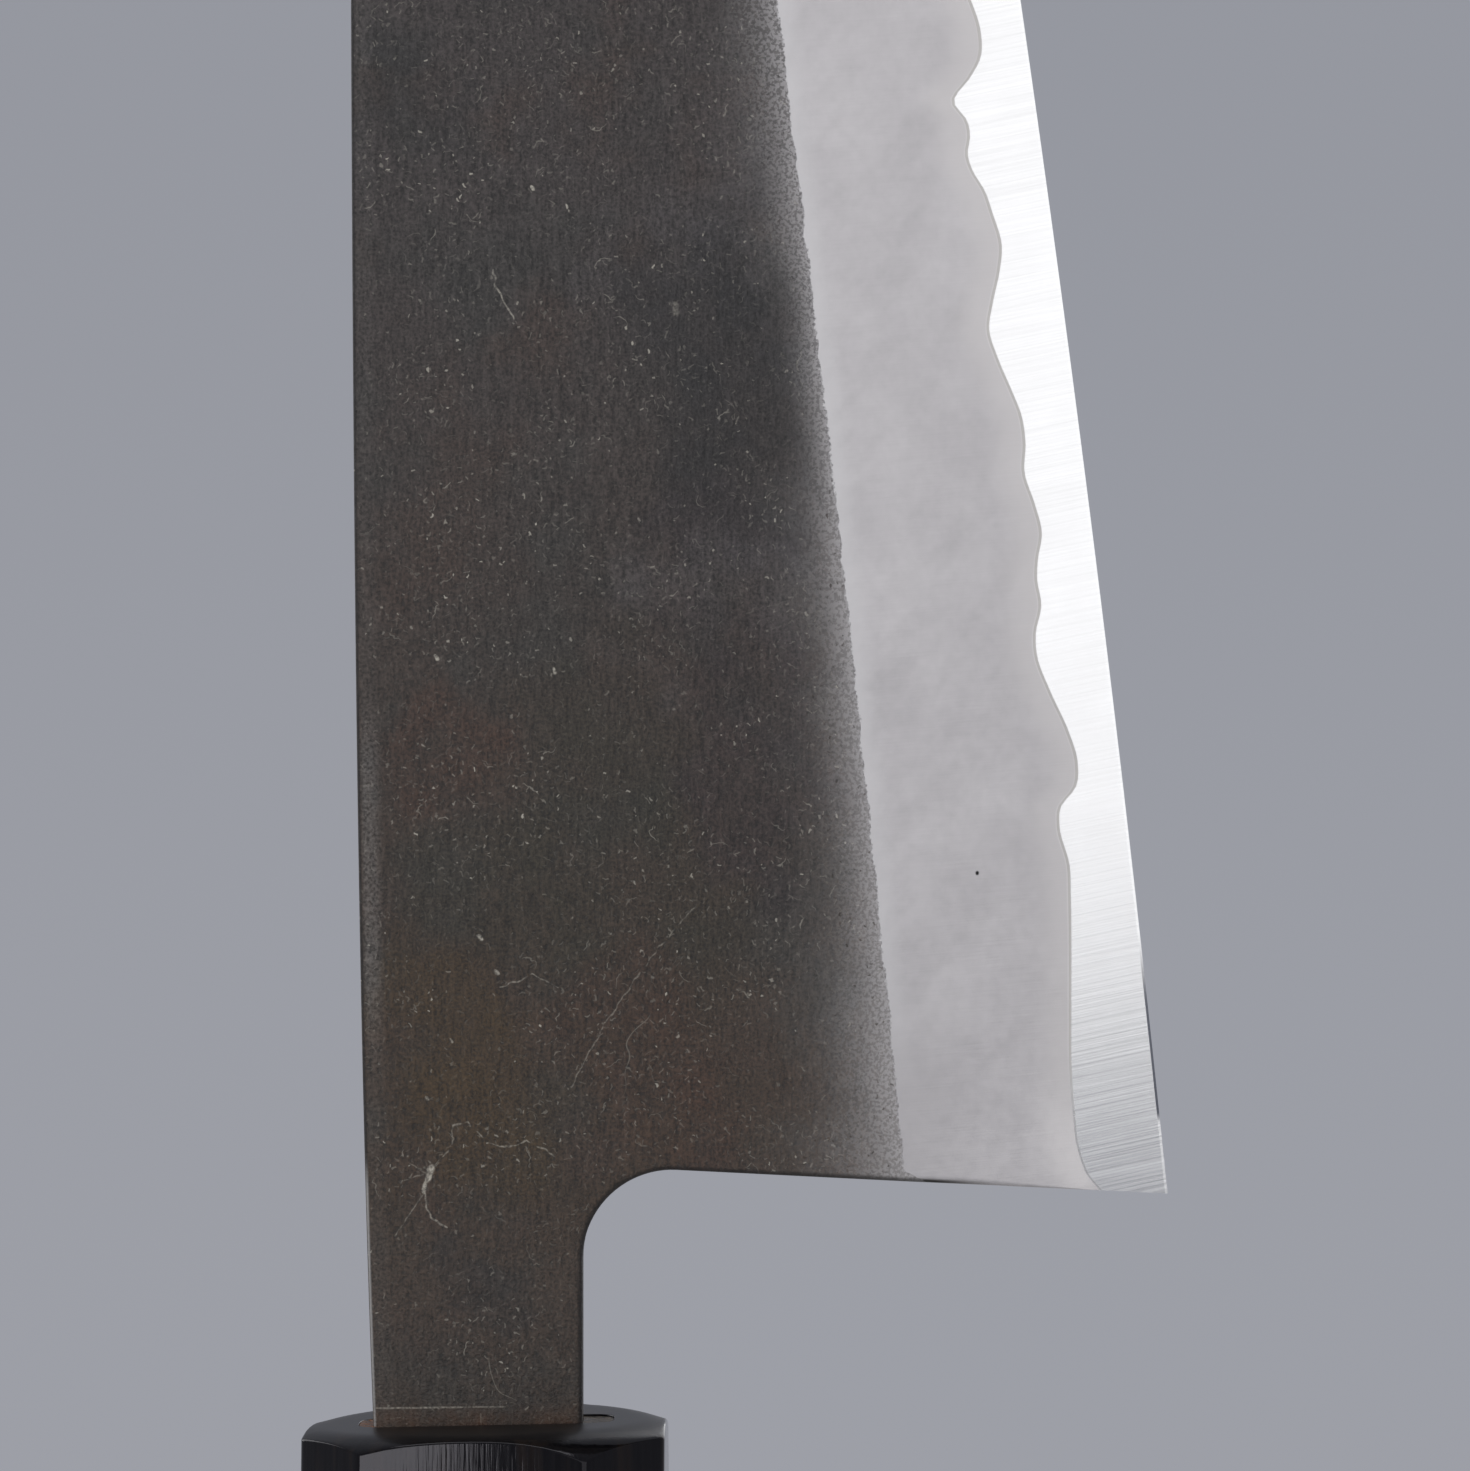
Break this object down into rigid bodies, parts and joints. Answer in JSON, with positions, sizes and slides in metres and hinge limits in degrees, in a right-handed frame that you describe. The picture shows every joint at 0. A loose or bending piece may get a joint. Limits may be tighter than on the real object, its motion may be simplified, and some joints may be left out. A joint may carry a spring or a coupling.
{
  "type": "gyuto knife",
  "caption": "Double-bevel kitchen knife with a laminated blade, dark forge-scale flats, a bright ground bevel, a black horn ferrule and an octagonal wooden handle.",
  "frame": {"origin": "middle of the flat butt face, on the handle's axis", "axes": "+Z along the handle from the butt to the blade's tip, +X from the spine towards the cutting edge, -Y out of the blade's right-hand side"},
  "size_m": [0.0553, 0.0224, 0.3963],
  "materials": {
    "hard_steel": "fine cross-ground, bright",
    "forged_iron": "dark forge scale on the flats, matt grey on the ground bevel",
    "black_horn": "polished black horn",
    "magnolia": "plain, lightly sanded",
    "dowel_wood": "plain, glued in",
    "resin": "set resin"
  },
  "bodies": {
    "root": {"core_steel": "hard_steel", "right_cladding": "forged_iron", "left_cladding": "forged_iron", "ferrule": "black_horn", "handle_body": "magnolia", "slotted_dowel": "dowel_wood", "tang_seal": "resin"}
  },
  "joints": []
}
